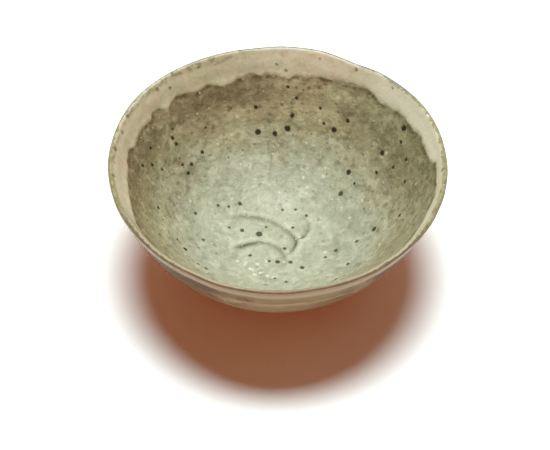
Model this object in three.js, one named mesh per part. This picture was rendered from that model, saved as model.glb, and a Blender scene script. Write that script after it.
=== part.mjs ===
// Stoneware tea bowl: a thrown and trimmed clay pot, a green glaze poured inside and a pale glaze over the lip
// Millimetres, +Z up, the foot ring stands on z = 0 and the wheel axis is the Z axis
import * as THREE from 'three';

// Overall sizes of the glazed bowl
const rimDiameter = 130;
const bowlHeight = 57;

// Clay wall, lip and floor
const lipThickness = 1.7;
const floorThickness = 5.2;
const floorLevelRun = 24;

// Outer wall: how far it leans in below the lip, and where its belly turns above the foot
const lipLeanIn = 2.7;
const lipLeanDown = 9;
const bellyOut = 24;
const bellyUp = 7.5;

// Inner wall: how far inside the outer belly it turns, sideways and down
const bellyWallIn = 9.3;
const bellyWallDown = 3.4;

// Trimmed foot ring
const footDiameter = 46;
const footHeight = 7;
const footFlare = 0.6;
const footRingWidth = 4;
const footBevel = 0.8;
const wellDepth = 5;
const wellFillet = 2.2;
const wellDome = 0.5;

// Throwing marks: the climbing finger groove of the wall
const throwingPitch = 11;
const insideGroove = 0.28;
const outsideGroove = 0.35;

// Finger strokes left in the floor, seen from above: points of each curve, and how hard it is pressed at each
const strokeDepth = 0.6;
const strokeWidth = 2.1;
const strokeSteps = 60;
const strokes = [
  {
    points: [
      [-20, 10], [-15, 11.8], [-9, 12.2], [-3, 11], [2, 8],
      [6, 4.5], [8.6, 1], [8.6, -2.5], [6.5, -6.5], [3, -9]
    ],
    press: [0.1, 0.6, 0.8, 0.8, 0.7, 0.7, 1.2, 1.4, 0.6, 0]
  },
  {
    points: [
      [-17, -5], [-14, -3.2], [-10, -1.4], [-6, -0.8], [-2, -1.6],
      [1.5, -4], [4, -7.5], [4.6, -11.5], [2.5, -16]
    ],
    press: [0.3, 1.3, 1.2, 0.8, 0.6, 0.7, 0.6, 0.4, 0]
  },
  {
    points: [[7, 13.5], [11, 13], [13.4, 9.5], [13.4, 5], [11.5, 1.6], [9.8, 0.4]],
    press: [0, 0.3, 0.35, 0.4, 1, 0.4]
  },
  {
    points: [[-19, -14], [-16.5, -9], [-16, -5]],
    press: [0, 0.35, 0.4]
  }
];

// How far the hand-thrown rim stands out from its circle: angle in degrees and millimetres
const rimOutline = [
  [0, 0.25], [28, 1.05], [50, 0.55], [61, -0.5], [78, 1.3], [88, 1.3], [100, 0.5], [125, 0.45],
  [148, 0.8], [175, 0.05], [200, -0.6], [216, -1.2], [240, -0.9], [254, -0.05], [272, 0], [284, -0.5],
  [300, -0.6], [318, -1.15], [328, -1], [338, -0.6], [350, -0.1]
];
const rimWave = 0.5;

// Glaze coats
const greenGlaze = 0.5;
const paleGlaze = 0.3;
const paleLipGlaze = 0.25;
const paleFootRoll = 0.55;
const glazeAboveFoot = 4;
const footLineWave = 1.6;

// Ragged upper edge of the green glaze: angle in degrees, and how far below the lip it lies along the wall
const greenEdge = [
  [0, 4.8], [8, 7.6], [20, 7.4], [30, 6.8], [38, 8.4], [45, 9.7], [54, 6.8], [58, 6.6], [63, 9.2],
  [72, 9], [80, 10], [88, 11.8], [95, 10.5], [99, 11.7], [103, 9.2], [113, 12.6], [120, 9.8], [125, 11.6],
  [134, 8.7], [140, 12.2], [147, 9], [151, 10.6], [156, 8], [161, 11], [166, 11.2], [171, 8], [180, 10],
  [187, 10.4], [195, 9.8], [208, 8.2], [219, 6.8], [238, 7], [255, 8.6], [272, 7.4], [290, 8], [306, 7],
  [322, 6.4], [332, 6.6], [340, 6], [350, 5]
];

// Rings of the surface: counts around the bowl and along each stretch of its section
const sides = 48;
const floorRings = 12;
const wallRings = 15;
const bandRings = 3;
const lipRings = 4;
const outerRings = 13;
const floorShare = 0.27;

const meanEdgeDrop = greenEdge.reduce((sum, [, drop]) => sum + drop, 0) / greenEdge.length;
const rimRadius = rimDiameter / 2 - paleLipGlaze;
const lipTop = bowlHeight - paleLipGlaze;
const floorHeight = wellDepth + floorThickness;
const footRadius = footDiameter / 2;
const bellyX = footRadius + footFlare + bellyOut;
const bellyZ = footHeight + bellyUp;

// Round edge of the lip, and the angles at which it meets the inner and the outer wall without a corner
const lipRadius = lipThickness / 2;
const lipCentre = new THREE.Vector2(rimRadius - lipRadius, lipTop - lipRadius);
const innerTurn = new THREE.Vector2(bellyX - bellyWallIn, bellyZ - bellyWallDown);
const lipToTurn = innerTurn.clone().sub(lipCentre);
const lipStart = lipToTurn.angle() - Math.acos(lipRadius / lipToTurn.length());
const lipEnd = -Math.atan2(lipLeanIn, lipLeanDown);
const lipReach = lipCentre.clone().add(new THREE.Vector2(lipRadius, 0));
const lipSection = (angle) => lipReach.clone().rotateAround(lipCentre, angle);

const innerWall = new THREE.CubicBezierCurve(
  new THREE.Vector2(0, floorHeight),
  new THREE.Vector2(floorLevelRun, floorHeight),
  innerTurn,
  lipSection(lipStart)
);
const outerWall = new THREE.CubicBezierCurve(
  lipSection(lipEnd),
  lipSection(lipEnd).sub(new THREE.Vector2(lipLeanIn, lipLeanDown)),
  new THREE.Vector2(bellyX, bellyZ),
  new THREE.Vector2(footRadius + footFlare, footHeight)
);
const innerLength = innerWall.getLength();
const outerLength = outerWall.getLength();

const smoothstep = THREE.MathUtils.smoothstep;
const lerp = THREE.MathUtils.lerp;

// Value at an angle, eased between places given as angle in degrees and value
function around(places, theta) {
  const degrees = THREE.MathUtils.euclideanModulo(THREE.MathUtils.radToDeg(theta), 360);
  const next = places.findIndex(([angle]) => angle > degrees);
  const from = places.at(next === -1 ? -1 : next - 1);
  const to = next === -1 ? [360, places[0][1]] : places[next];
  return lerp(from[1], to[1], smoothstep(degrees, from[0], to[0]));
}

// Share of the inner wall's length at which a ring lies, drawn up or down with the ragged edge
function insideShare(ring, theta) {
  const meanEdge = 1 - meanEdgeDrop / innerLength;
  const edge = 1 - around(greenEdge, theta) / innerLength;
  if (ring > floorRings + wallRings) {
    const above = (ring - floorRings - wallRings) / (bandRings + 1);
    return lerp(edge, 1, above);
  }
  const base = ring <= floorRings
    ? floorShare * ring / floorRings
    : lerp(floorShare, meanEdge, (ring - floorRings) / wallRings);
  return base + (edge - meanEdge) * smoothstep(base, lerp(floorShare, meanEdge, 0.5), meanEdge);
}

// Share of the outer wall's length where the pale glaze ends, above the foot
function paleEnd(theta) {
  const wave = Math.cos(2 * theta + 1) * 0.6 + Math.cos(5 * theta) * 0.4;
  return 1 - (glazeAboveFoot + footLineWave * (0.5 + 0.5 * wave)) / outerLength;
}

// Climbing groove of the potter's finger, one start, for a place along the wall
function fingerGroove(along, theta) {
  return 0.5 - 0.5 * Math.cos(2 * Math.PI * along / throwingPitch - theta);
}

// Places along the finger strokes, each with how hard the finger pressed there
const pressedPlaces = strokes.flatMap(({ points, press }) => {
  const curve = new THREE.SplineCurve(points.map(([x, y]) => new THREE.Vector2(x, y)));
  return curve.getPoints(strokeSteps).map((place, step) => {
    const along = step / strokeSteps * (press.length - 1);
    const before = Math.min(Math.floor(along), press.length - 2);
    return { place, press: lerp(press[before], press[before + 1], along - before) };
  });
});

// Depth of the finger strokes at a place in the floor
function floorMark(x, y) {
  const here = new THREE.Vector2(x, y);
  const depths = pressedPlaces.map(({ place, press }) => {
    const off = place.distanceTo(here) / strokeWidth;
    return press * Math.exp(-(off ** 2));
  });
  return strokeDepth * Math.max(...depths);
}

// Place on the bowl's skin from a section point, with the rim's warp, which dies out at the foot
function warped(radius, z, theta) {
  const share = (z / bowlHeight) ** 2;
  const warpedRadius = radius + share * around(rimOutline, theta);
  const lift = rimWave * Math.sin(3 * theta);
  return new THREE.Vector3(warpedRadius * Math.cos(theta), warpedRadius * Math.sin(theta), z + share * lift);
}

// Point of a wall curve at a share of its length, moved along its normal by a depth
function sunkPoint(curve, share, depth) {
  const point = curve.getPointAt(share);
  const tangent = curve.getTangentAt(share);
  return new THREE.Vector2(point.x + tangent.y * depth, point.y - tangent.x * depth);
}

function insidePoint(ring, theta) {
  const share = insideShare(ring, theta);
  const wallPart = smoothstep(share, floorShare, 2 * floorShare) * (1 - smoothstep(share, 0.9, 1));
  const flat = innerWall.getPointAt(share);
  const groove = insideGroove * wallPart * fingerGroove(share * innerLength, theta);
  const mark = floorMark(flat.x * Math.cos(theta), flat.x * Math.sin(theta));
  const point = sunkPoint(innerWall, share, groove + mark);
  return warped(point.x, point.y, theta);
}

function lipPoint(ring, theta) {
  const point = lipSection(lerp(lipStart, lipEnd, ring / lipRings));
  return warped(point.x, point.y, theta);
}

function outerShare(ring, theta) {
  return paleEnd(theta) * ring / outerRings;
}

function outsidePoint(ring, theta) {
  const share = outerShare(ring, theta);
  const wallPart = smoothstep(share, 0, 0.1) * (1 - smoothstep(share, 0.85, 1));
  const groove = outsideGroove * wallPart * fingerGroove(share * outerLength, theta);
  const point = sunkPoint(outerWall, share, groove);
  return warped(point.x, point.y, theta);
}

// Section of the foot, from the end of the wall round the standing ring to the well inside it
const footSection = [
  [footRadius + footFlare, footHeight],
  [footRadius, footBevel],
  [footRadius - footBevel, 0],
  [footRadius - footRingWidth + footBevel, 0],
  [footRadius - footRingWidth, footBevel],
  [footRadius - footRingWidth - footFlare, wellDepth - wellFillet],
  [footRadius - footRingWidth - footFlare - wellFillet, wellDepth],
  [(footRadius - footRingWidth) / 2, wellDepth + wellDome / 2]
];

// All rings of the clay from the middle of the floor over the lip to the well of the foot
function clayRings() {
  const angles = Array.from({ length: sides }, (_, i) => 2 * Math.PI * i / sides);
  const rings = [];
  for (let ring = 1; ring <= floorRings + wallRings + bandRings; ring += 1) {
    rings.push(angles.map((theta) => insidePoint(ring, theta)));
  }
  for (let ring = 0; ring <= lipRings; ring += 1) {
    rings.push(angles.map((theta) => lipPoint(ring, theta)));
  }
  for (let ring = 1; ring <= outerRings; ring += 1) {
    rings.push(angles.map((theta) => outsidePoint(ring, theta)));
  }
  for (const [radius, z] of footSection) {
    rings.push(angles.map((theta) => warped(radius, z, theta)));
  }
  return rings;
}

const rings = clayRings();
const floorCentre = insidePoint(0, 0);
const wellCentre = new THREE.Vector3(0, 0, wellDepth + wellDome);
const greenEdgeRing = floorRings + wallRings - 1;
const lipStartRing = greenEdgeRing + bandRings + 1;
const paleEdgeRing = lipStartRing + lipRings + outerRings;

// Outward direction of the skin at a ring and side, from its neighbours
function skinNormal(ring, side) {
  const before = ring === 0 ? floorCentre : rings[ring - 1][side];
  const after = rings[ring + 1][side];
  const left = rings[ring][(side + 1) % sides];
  const right = rings[ring][(side + sides - 1) % sides];
  const along = after.clone().sub(before);
  const around = left.clone().sub(right);
  return along.cross(around).normalize();
}

function greenThickness(ring) {
  return ring === greenEdgeRing ? 0 : greenGlaze;
}

function paleThickness(ring) {
  if (ring === greenEdgeRing || ring === paleEdgeRing) {
    return 0;
  }
  if (ring === paleEdgeRing - 1) {
    return paleFootRoll;
  }
  return ring >= lipStartRing && ring <= lipStartRing + lipRings ? paleLipGlaze : paleGlaze;
}

// Closed mesh through rings of points, from pole to pole, or without poles round to its first ring.
// Past the ring where it turns back it lies on the clay, and its quads are split as the clay's are.
function closedMesh(name, color, roughness, loops, turn, poles = []) {
  const places = [...loops.flat(), ...poles];
  const faces = [];
  const gaps = poles.length ? loops.length - 1 : loops.length;
  for (let side = 0; side < sides; side += 1) {
    const next = (side + 1) % sides;
    for (let gap = 0; gap < gaps; gap += 1) {
      const near = gap * sides;
      const far = (gap + 1) % loops.length * sides;
      if (gap < turn) {
        faces.push(near + side, far + side, far + next, near + side, far + next, near + next);
      } else {
        faces.push(near + side, far + side, near + next, far + side, far + next, near + next);
      }
    }
    if (poles.length) {
      const first = loops.length * sides;
      const lastLoop = first - sides;
      faces.push(first, side, next, lastLoop + side, first + 1, lastLoop + next);
    }
  }
  const geometry = new THREE.BufferGeometry();
  const numbers = places.flatMap((place) => place.toArray());
  geometry.setAttribute('position', new THREE.Float32BufferAttribute(numbers, 3));
  geometry.setIndex(faces);
  geometry.computeVertexNormals();
  const mesh = new THREE.Mesh(geometry, new THREE.MeshStandardMaterial({ color, roughness, metalness: 0 }));
  mesh.name = name;
  return mesh;
}

// Rings of the clay between two rings, lifted off it by a thickness for each
function liftedRings(first, last, thicknessAt) {
  return rings.slice(first, last + 1).map((ring, i) => (
    ring.map((point, side) => point.clone().addScaledVector(skinNormal(first + i, side), thicknessAt(first + i)))
  ));
}

function clayBody() {
  return closedMesh('clay_body', 0x9c7a5c, 0.85, rings, rings.length, [floorCentre, wellCentre]);
}

// Coats of glaze: the front is lifted off the clay, the back is the clay's own rings, the edge runs out thin
function greenCoat() {
  const front = liftedRings(0, greenEdgeRing, greenThickness);
  const back = rings.slice(0, greenEdgeRing).reverse();
  const top = floorCentre.clone().add(new THREE.Vector3(0, 0, greenGlaze));
  const poles = [top, floorCentre];
  return closedMesh('green_inner_glaze', 0xa3a384, 0.35, [...front, ...back], front.length - 1, poles);
}

function paleCoat() {
  const front = liftedRings(greenEdgeRing, paleEdgeRing, paleThickness);
  const back = rings.slice(greenEdgeRing + 1, paleEdgeRing).reverse();
  return closedMesh('pale_outer_glaze', 0xc9b394, 0.35, [...front, ...back], front.length - 1);
}

const bowl = new THREE.Group();
bowl.add(clayBody(), greenCoat(), paleCoat());

export default bowl;
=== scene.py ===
# Looks of the stoneware tea bowl: fine glaze and clay surfaces, soft overhead light, the photograph's camera
import math

import bpy
import numpy as np
from mathutils import Matrix, Vector


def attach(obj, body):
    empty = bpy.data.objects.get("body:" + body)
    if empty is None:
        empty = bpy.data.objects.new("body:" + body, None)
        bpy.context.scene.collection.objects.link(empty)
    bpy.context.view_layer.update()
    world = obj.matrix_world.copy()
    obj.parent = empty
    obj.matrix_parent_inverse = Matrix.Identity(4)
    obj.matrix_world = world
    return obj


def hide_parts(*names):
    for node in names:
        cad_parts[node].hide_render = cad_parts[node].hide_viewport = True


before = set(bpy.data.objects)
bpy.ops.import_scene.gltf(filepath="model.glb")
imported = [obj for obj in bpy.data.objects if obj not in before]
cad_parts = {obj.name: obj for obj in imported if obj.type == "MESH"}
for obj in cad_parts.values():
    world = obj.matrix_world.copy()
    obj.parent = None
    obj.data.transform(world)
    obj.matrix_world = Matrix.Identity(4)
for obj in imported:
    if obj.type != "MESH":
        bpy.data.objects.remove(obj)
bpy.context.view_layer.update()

MM = 0.001

# Sizes of the section in millimetres, the same as the solids'
PALE_LIP_GLAZE = 0.25
LIP_THICKNESS = 1.7
FLOOR_THICKNESS = 5.2
FLOOR_LEVEL_RUN = 24
LIP_LEAN_IN = 2.7
LIP_LEAN_DOWN = 9
BELLY_OUT = 24
BELLY_UP = 7.5
BELLY_WALL_IN = 9.3
BELLY_WALL_DOWN = 3.4
RIM_DIAMETER = 130
BOWL_HEIGHT = 57
FOOT_DIAMETER = 46
FOOT_HEIGHT = 7
FOOT_FLARE = 0.6
FOOT_RING_WIDTH = 4
FOOT_BEVEL = 0.8
WELL_DEPTH = 5
WELL_FILLET = 2.2
WELL_DOME = 0.5
THROWING_PITCH = 11
INSIDE_GROOVE = 0.28
OUTSIDE_GROOVE = 0.35
INSIDE_GROOVE_END = 0.9
OUTSIDE_GROOVE_START = 0.1
OUTSIDE_GROOVE_END = 0.85
RIM_WAVE = 0.5
RIM_WAVES = 3
GREEN_GLAZE = 0.5
GREEN_RISE = 3.5
PALE_GLAZE = 0.3
PALE_RISE = 2
PALE_FOOT_ROLL = 0.3
GLAZE_ABOVE_FOOT = 4
FOOT_LINE_WAVE = 1.6
FOOT_LINE_RUN = 0.35
FOOT_ROLL_PLACE = 1.2
FOOT_ROLL_WIDTH = 0.9

# Waves of the pale coat's lower line: count around the bowl, turn in radians and share
FOOT_LINE_WAVES = ((2, 1, 0.6), (5, 0, 0.4))

# Fine unevenness drawn with a seed: millimetres, most lobes around the bowl and the seed. Each is a sum of so
# many waves, divided by the scale
EDGE_SCALLOPS = (0.22, 110, 3)
EDGE_NICKS = (0.12, 260, 5)
FOOT_LINE_FINE = (0.25, 90, 11)
WAVE_COUNT = 12
WAVE_SCALE = 5

# How far the hand-thrown rim stands out from its circle: angle in degrees and millimetres
RIM_OUTLINE = [
    (0, 0.25), (28, 1.05), (50, 0.55), (61, -0.5), (78, 1.3), (88, 1.3), (100, 0.5), (125, 0.45),
    (148, 0.8), (175, 0.05), (200, -0.6), (216, -1.2), (240, -0.9), (254, -0.05), (272, 0), (284, -0.5),
    (300, -0.6), (318, -1.15), (328, -1), (338, -0.6), (350, -0.1),
]

# Ragged upper edge of the green glaze: angle in degrees and drop below the lip along the wall
GREEN_EDGE = [
    (0, 4.5), (5, 4), (7, 6.2), (10, 7.5), (18, 7.9), (21.5, 7.2), (26, 8.5), (30, 8.2), (36, 7.9),
    (41, 8.9), (46.5, 9.6), (50.5, 7.9), (54, 6.9), (58, 7.3), (64, 8), (69.5, 9.4), (73, 9.1), (77, 10.3),
    (80, 10.8), (83, 10.1), (86.5, 12), (92, 10.7), (95, 9.8), (97.5, 10.4), (101.5, 9), (106, 10.3),
    (111, 11.9), (114, 12), (120, 9.8), (125, 10.8), (130, 9.3), (134, 8.4), (140.5, 10.9), (144.5, 8.4),
    (147, 8.2), (150.5, 9.8), (156, 9.2), (160, 9.2), (164.5, 10.3), (169, 8), (172, 8.8), (178, 10.5),
    (188, 11.2), (192, 11.2), (200, 10.4), (208, 8.6), (214, 7), (220, 8), (230, 8.2), (242, 7.6),
    (255, 8.6), (272, 7.4), (290, 8), (306, 7), (320, 6.8), (328, 5.2), (335, 6.2), (342, 6), (350, 4.2),
]

# Finger strokes in the floor, seen from above: points of each curve, and how strongly it is pressed at each
STROKES = [
    ([(-20, 10), (-15, 11.8), (-9, 12.2), (-3, 11), (2, 8), (6, 4.5), (8.6, 1), (8.6, -2.5), (6.5, -6.5),
      (3, -9)],
     [0.1, 0.6, 0.8, 0.8, 0.7, 0.7, 1.2, 1.4, 0.6, 0]),
    ([(-17, -5), (-14, -3.2), (-10, -1.4), (-6, -0.8), (-2, -1.6), (1.5, -4), (4, -7.5), (4.6, -11.5),
      (2.5, -16)],
     [0.3, 1.3, 1.2, 0.8, 0.6, 0.7, 0.6, 0.4, 0]),
    ([(7, 13.5), (11, 13), (13.4, 9.5), (13.4, 5), (11.5, 1.6), (9.8, 0.4)],
     [0, 0.35, 0.45, 0.6, 1.4, 0.7]),
    ([(-19, -14), (-16.5, -9), (-16, -5)],
     [0, 0.35, 0.4]),
    ([(26, 2), (25.5, -4), (25, -10), (22, -16)],
     [0.1, 0.35, 0.35, 0]),
    ([(-42, 17), (-38, 21), (-34, 26), (-32, 31)],
     [0, 0.5, 0.4, 0]),
]
STROKE_CUT = 0.75
STROKE_CUT_RUN = 2.4
STROKE_LIFT = 0.35
STROKE_LIFT_RUN = 1.6
STROKE_STEP_WIDTH = 0.5
STROKE_REACH = 9
STROKE_PLACES = 240
# Where glaze pools beside a stroke's line, with painted shade there, how wide inside and outside of that,
# and the ridge past it with its painted highlight
POOL_SHADE_PLACE = -0.3
POOL_SHADE_WIDTHS = (1.3, 0.6)
RIDGE_PLACE = 1.5
RIDGE_WIDTH = 0.8
RIDGE_HIGHLIGHT = 0.6

# Glaze over the lip: angle in degrees, where its dark line starts in mm before the crest, strength of the
# painted highlight line above that, mm that the mossy mottling reaches above it, and where the outside starts
# past the crest
LIP_LOOK = [
    (0, 0.7, 0, 0.3, 2), (20, 0.45, 0, 0.3, 2), (43, 0.45, 0, 0.9, 2), (55, 0.3, 0.2, 0.3, 2),
    (66, 0.2, 0.6, 0, 2), (90, 0.2, 0.9, 0, 2), (104, 0.1, 0.5, 1.4, 2), (114, 0.1, 0.2, 4, 2),
    (124, 0, 0.3, 3.2, 2), (134, -0.1, 0.5, 2.6, 2), (154, 0.1, 0.7, 2.4, 2), (168, -0.1, 0.15, 2.4, 2),
    (180, 0.4, 0, 1.6, 2), (200, 0.4, 0, 1.2, 1.9), (212, 0, 0.2, 1.6, 1.2), (224, -0.4, 0.2, 2, 1),
    (245, -0.3, 0.2, 1.2, 0.9), (257, -0.2, 0.1, 0.4, 0.85), (270, -0.1, 0, 0.3, 0.85),
    (283, -0.1, 0.1, 0.3, 0.8), (296, -0.1, 0.3, 0.4, 0.85), (309, -0.2, 0.4, 1, 0.9),
    (320, -0.3, 0.5, 1.3, 1), (330, 0, 0.4, 1, 1.3), (342, 0.5, 0.1, 0.5, 1.9),
]

# Brown stains at the ragged edge and in the wall, seen from above: x, y and diameter
STAINS = [
    (-38.4, 44.5, 1.6), (-29.2, 50.6, 1.3), (-53.2, 26.4, 1.4), (-57.5, 12.9, 1.4), (-11.2, 57.3, 1.1),
    (-9.7, 57.6, 1.4), (-8, 57.9, 1.1), (-5, 58.2, 1.2), (3.9, 58.5, 1.1), (5.6, 58.4, 1.4),
    (7.3, 58.1, 1.1), (16.8, 56.6, 1), (18.2, 56.1, 1.4), (19.7, 55.5, 1.2), (21.2, 54.8, 1),
    (38.3, 45.4, 1.5), (36.6, 46.8, 1.3), (30.5, 50.3, 1.4), (-33.4, 47, 1.4), (-16.2, 55.7, 1.2),
    (-20.7, 47.8, 2.2), (12.4, 55.3, 1.4), (16.5, 54.6, 1.2), (-34, 41.9, 1), (7.1, 55.8, 1),
]

# Cloudy patches in the green glaze, seen from above: x, y, reach in mm and strength, which is above 0 for
# light ones and below 0 for dark ones
CLOUDS = [
    (-40, 40, 4, -0.5), (-34, 45, 5, -0.8), (-26, 50, 5, -0.9), (-18, 53, 5, -0.8), (-8, 54.6, 5, -0.6),
    (-18.8, 44.8, 3.5, 0.9), (-13, 45.2, 3, 0.8), (21.6, 48.6, 4.5, 0.9), (37.4, 44.3, 4, 0.7),
    (45.5, 38.5, 3, 0.6), (36, 41.8, 3, -0.7), (32.8, 37.9, 4, -0.7), (25, 45.4, 3, -0.6),
    (19.2, 44.4, 3, -0.5), (42.4, 30.2, 4, -0.5), (46, 21, 3, -0.6), (48, 14.5, 3, -0.6),
    (53.2, 16.1, 3, -0.6), (31.8, 27.5, 2.5, -0.5), (54.1, 3.4, 3, -0.4), (31.5, 33.5, 3, 0.7),
    (35.4, 29.9, 3, 0.6), (22, 33.5, 3, 0.5), (-37.9, 6.6, 4, -0.6), (26.6, -7.6, 3, -0.7),
    (17, 20.5, 3, -0.6), (3.6, 14.5, 3.5, 0.6), (30, 9.4, 4, -0.4), (33, 0.5, 4, -0.4),
    (-41.8, -6.4, 5, 0.4), (-28.8, 6.7, 4, 0.4), (-11.3, 31.6, 5, 0.5), (-18.7, 30.1, 4, 0.6),
    (17.7, 28.2, 2.5, 0.6), (-31.5, 22.5, 3, -0.4), (-18.6, 17, 2.5, -0.5), (-47.4, 32.2, 4, 0.3),
    (-16.4, 23.5, 3.5, -0.6), (21.9, 11.9, 2.5, -0.7), (2.4, -13.7, 2.5, -0.6), (-22.8, -9.8, 2.5, -0.4),
    (27.9, 16.8, 3, -0.3), (-10.9, 18.4, 3, 0.4), (-6.4, 32.9, 4, 0.3), (-26.5, 31.6, 3.5, 0.6),
    (-38.3, 24.1, 3.5, -0.5), (24.2, 47.8, 3, 0.6), (34.4, 40.6, 2.5, 0.7), (37.5, 27.2, 3, 0.5),
    (14.1, 39.3, 2.5, 0.6), (-20.5, 35.2, 3.5, 0.5), (-31.8, 3.2, 3.5, 0.4), (42, -11, 5, 0.5),
    (-48, -17, 5, 0.5), (29.9, 4.6, 2.5, -0.4), (-53, 19, 5, -0.45), (-55, 9, 5, -0.4), (-51, 27, 4, -0.3),
]

# Dark ticks in the pale band and on the lip, seen from above: x, y and diameter
TICKS = [
    (-49, 39.7, 1.6), (-44.7, 43.8, 1.3), (-44.2, 43.1, 1.2), (-33.1, 53.4, 1), (-1.3, 61.2, 1),
    (2.5, 60, 1.2), (-61, 15, 1.6), (-62.8, 5.3, 1.8), (-62.3, -8.5, 1.4), (31.1, 53.9, 1.2),
    (16.4, 61.2, 0.8), (63.3, -1.3, 1.6), (62.3, 5.2, 1.2), (-37.8, 47.7, 0.8), (-59.5, 22.5, 1.2),
    (45.6, 43.7, 1), (-19.5, 61.2, 2), (-16.5, 62.4, 1.4), (-23, 60, 1.3), (-28.5, 57.8, 1.3),
    (-43.6, 47.4, 1.3),
]

# Larger iron specks inside the bowl, seen from above: x, y and diameter
IRON_SPECKS = [
    (4, 45.9, 2.5), (-8.5, 43.9, 2.3), (-1.5, 44.4, 1.9), (23, 41.9, 2.1), (50.5, 29.6, 2.3),
    (-6.5, 3, 2.5), (42.5, 27.1, 1.9), (29.5, 27.1, 2.1), (26.5, 20, 1.9), (39.5, -3.5, 2.1),
    (-43, 29.6, 1.6), (-41.5, 28.6, 1.5), (-36.5, 22, 1.6), (-9.5, 50.4, 1.6), (5.5, 48.9, 1.7),
    (28.5, 42.9, 1.7), (17, 49.4, 1.2), (19, 44.9, 1.2), (3.5, 55.9, 1.2), (7.5, 53.4, 1.2), (-51, 20, 1.4),
    (-31, 31.6, 1.4), (-53.5, 10.5, 1.5), (-50, 14.5, 1.5), (-46.5, 16, 1.2), (-38.5, 23.5, 1.2),
    (-35.5, 25.6, 1.5), (46.5, 19, 1.4), (40.5, 21.5, 1.4), (32, 22, 1.1), (51, 10, 1.3), (-15, 17.5, 1.6),
    (-24, 14.5, 1.2), (-19.5, 15, 1.1), (-33, 7, 1.4), (-14, 4.5, 1.6), (-29, -5, 1.3), (-35.5, -16, 1.7),
    (1, -11.5, 1.8), (-2.5, -11.5, 1.1), (6, -11.5, 1.5), (11, -15, 1.8), (3.5, -4, 1.4), (32.5, -5.5, 1.5),
    (24.5, -7, 1.5), (48.5, -5, 1.3), (-10, -8.5, 1.3), (-30, -22.5, 1.1), (-27, -23.5, 1.4),
    (29, -18, 1.4), (24, -27.5, 1.3), (20, -10, 1.1), (-47, -2, 1.4), (-43, 32.6, 1), (-30, 39.6, 1),
    (49.5, 25.6, 1.3), (51.5, 18, 1.3), (4.5, -23.5, 1.1), (0, -21.5, 1.1), (-19, 5, 1), (7, 7, 1.1),
    (-4, 7, 0.9), (12.5, 13, 1), (8, 16, 1), (2.5, 16, 1), (-39, -12, 1), (-45, -18, 1), (-6, -35, 1.6),
    (14, -44, 1.8), (-22, -48, 1.5), (33, -38, 1.4), (-40, -36, 1.3), (20, -52, 1.2), (2, -55, 1.4),
]

# White grit inside the bowl, some of it painted glints, seen from above: x, y and diameter
WHITE_GRIT_AND_GLINTS = [
    (44, 26.1, 1.2), (20, -7, 1.3), (41, -15, 1.3), (-19.5, 41.4, 1.3), (-17.5, 46.4, 1), (17, 45.9, 1.4),
    (24, 49.9, 1.2), (27, 48.4, 1.2), (-33.5, 41.9, 1), (-35, 11.5, 1.2), (-39.5, 10, 1.2),
    (-15, -12.5, 1.2), (-11.5, 33.1, 1.6), (-15, 33.1, 1.2), (11, 29.6, 1), (19, 28.6, 1.2),
    (20, 31.6, 0.9), (35, 14, 1), (-6, -19, 1.1), (-44, -12, 1.2), (38.5, 8, 0.9), (-27, 28.6, 0.9),
    (30, 8, 0.9), (54.5, 4, 1), (52.5, 8, 0.9), (-7, -13, 1.3), (-3.4, -11.8, 1.2), (-8, -19.5, 1.6),
    (-5.5, -18.5, 1.2), (-10, -16.5, 1.5), (-3, -20, 1.5), (-0.5, -21, 1.3), (3.8, -11.7, 1),
    (-11.8, -13, 1), (1, 24, 0.8), (-9, -17, 0.9), (-12, -14, 0.9), (-2, 38.6, 0.8), (-25, 36.6, 0.9),
    (12, 40.6, 0.8), (44.5, -8, 0.9),
]

# Weak mirror of the green glaze and the clay, and of the smoother pale glaze inside and outside
SATIN_SPECULAR = 0.25
PALE_SPECULAR = 0.4
OUTSIDE_SPECULAR = 0.12

# Sides and rings of the fine surface, gaps in mm between the rings that follow the green edge, the share of
# the inner wall's length that is floor, and samples of a curve's length
SIDES = 600
INSIDE_RINGS = 118
EDGE_RINGS = 14
EDGE_RING_GAPS = (0.2, 0.62)
BAND_RINGS = 16
LIP_RINGS = 15
OUTSIDE_RINGS = 84
BARE_RINGS = 9
FLOOR_SHARE = 0.27
CURVE_SAMPLES = 2001

# Reach of a round spot's field past its edge, its value further off, and the distance from the green edge
# that stands for the lip and the outside, in millimetres
SPOT_REACH = 2
SPOT_FAR = -1.5
EDGE_FAR = 20

# Ring places as shares: the first one past the floor's pole, the gap below the edge's rings, and the close
# and even ones on the band and outside
POLE_GAP = 0.004
EDGE_GAP = 0.006
BAND_CLOSE = (0.012, 0.03, 0.06, 0.1)
BAND_EVEN = (0.16, 0.97)
OUTSIDE_EVEN = (0.012, 0.96)
OUTSIDE_CLOSE = (0.975, 0.985, 0.992, 0.997)

# Radius inside which streaks no longer run round the bowl, in millimetres
STREAK_CORE = 14

# Camera of the photograph: angles in degrees, distances in millimetres, and where its view starts in metres
CAMERA_ELEVATION = 48.9
CAMERA_ROLL = 1.43
CAMERA_DISTANCE = 612
CAMERA_LENS = 104.7
SENSOR_WIDTH = 36
CLIP_START = 0.01
IMAGE_SIZE = (550, 450)
RIM_CENTRE_PIXEL = (277.6, 161.8)

# Floor: half its width in metres, the colour that lights the bowl and the one that the camera sees, and the
# warm glow in its shadow
FLOOR_HALF = 0.8
FLOOR_COLOUR = (0.64, 0.64, 0.63, 1)
FLOOR_SEEN = (1.26, 1.46, 1.46, 1)
SHADOW_GLOW = (1, 0.16, 0.05, 1)
SHADOW_GLOW_STRENGTH = 0.156

# Lamps: name, width and depth in metres, watts and place. World: its dim light and its colour to the camera
LAMPS = (
    ("overhead", 1.28, 0.88, 60.5, (-0.03, 0.344, 2.4)),
    ("surround", 3.45, 3.45, 3.6, (0.5, 0.9, 2.4)),
)
WORLD_LIGHT = (0.012, 0.01, 0.0015, 1)
WORLD_SEEN = (1, 1, 1, 1)


def smoothstep(x, low, high):
    t = np.clip((x - low) / (high - low), 0, 1)
    return t * t * (3 - 2 * t)


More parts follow.
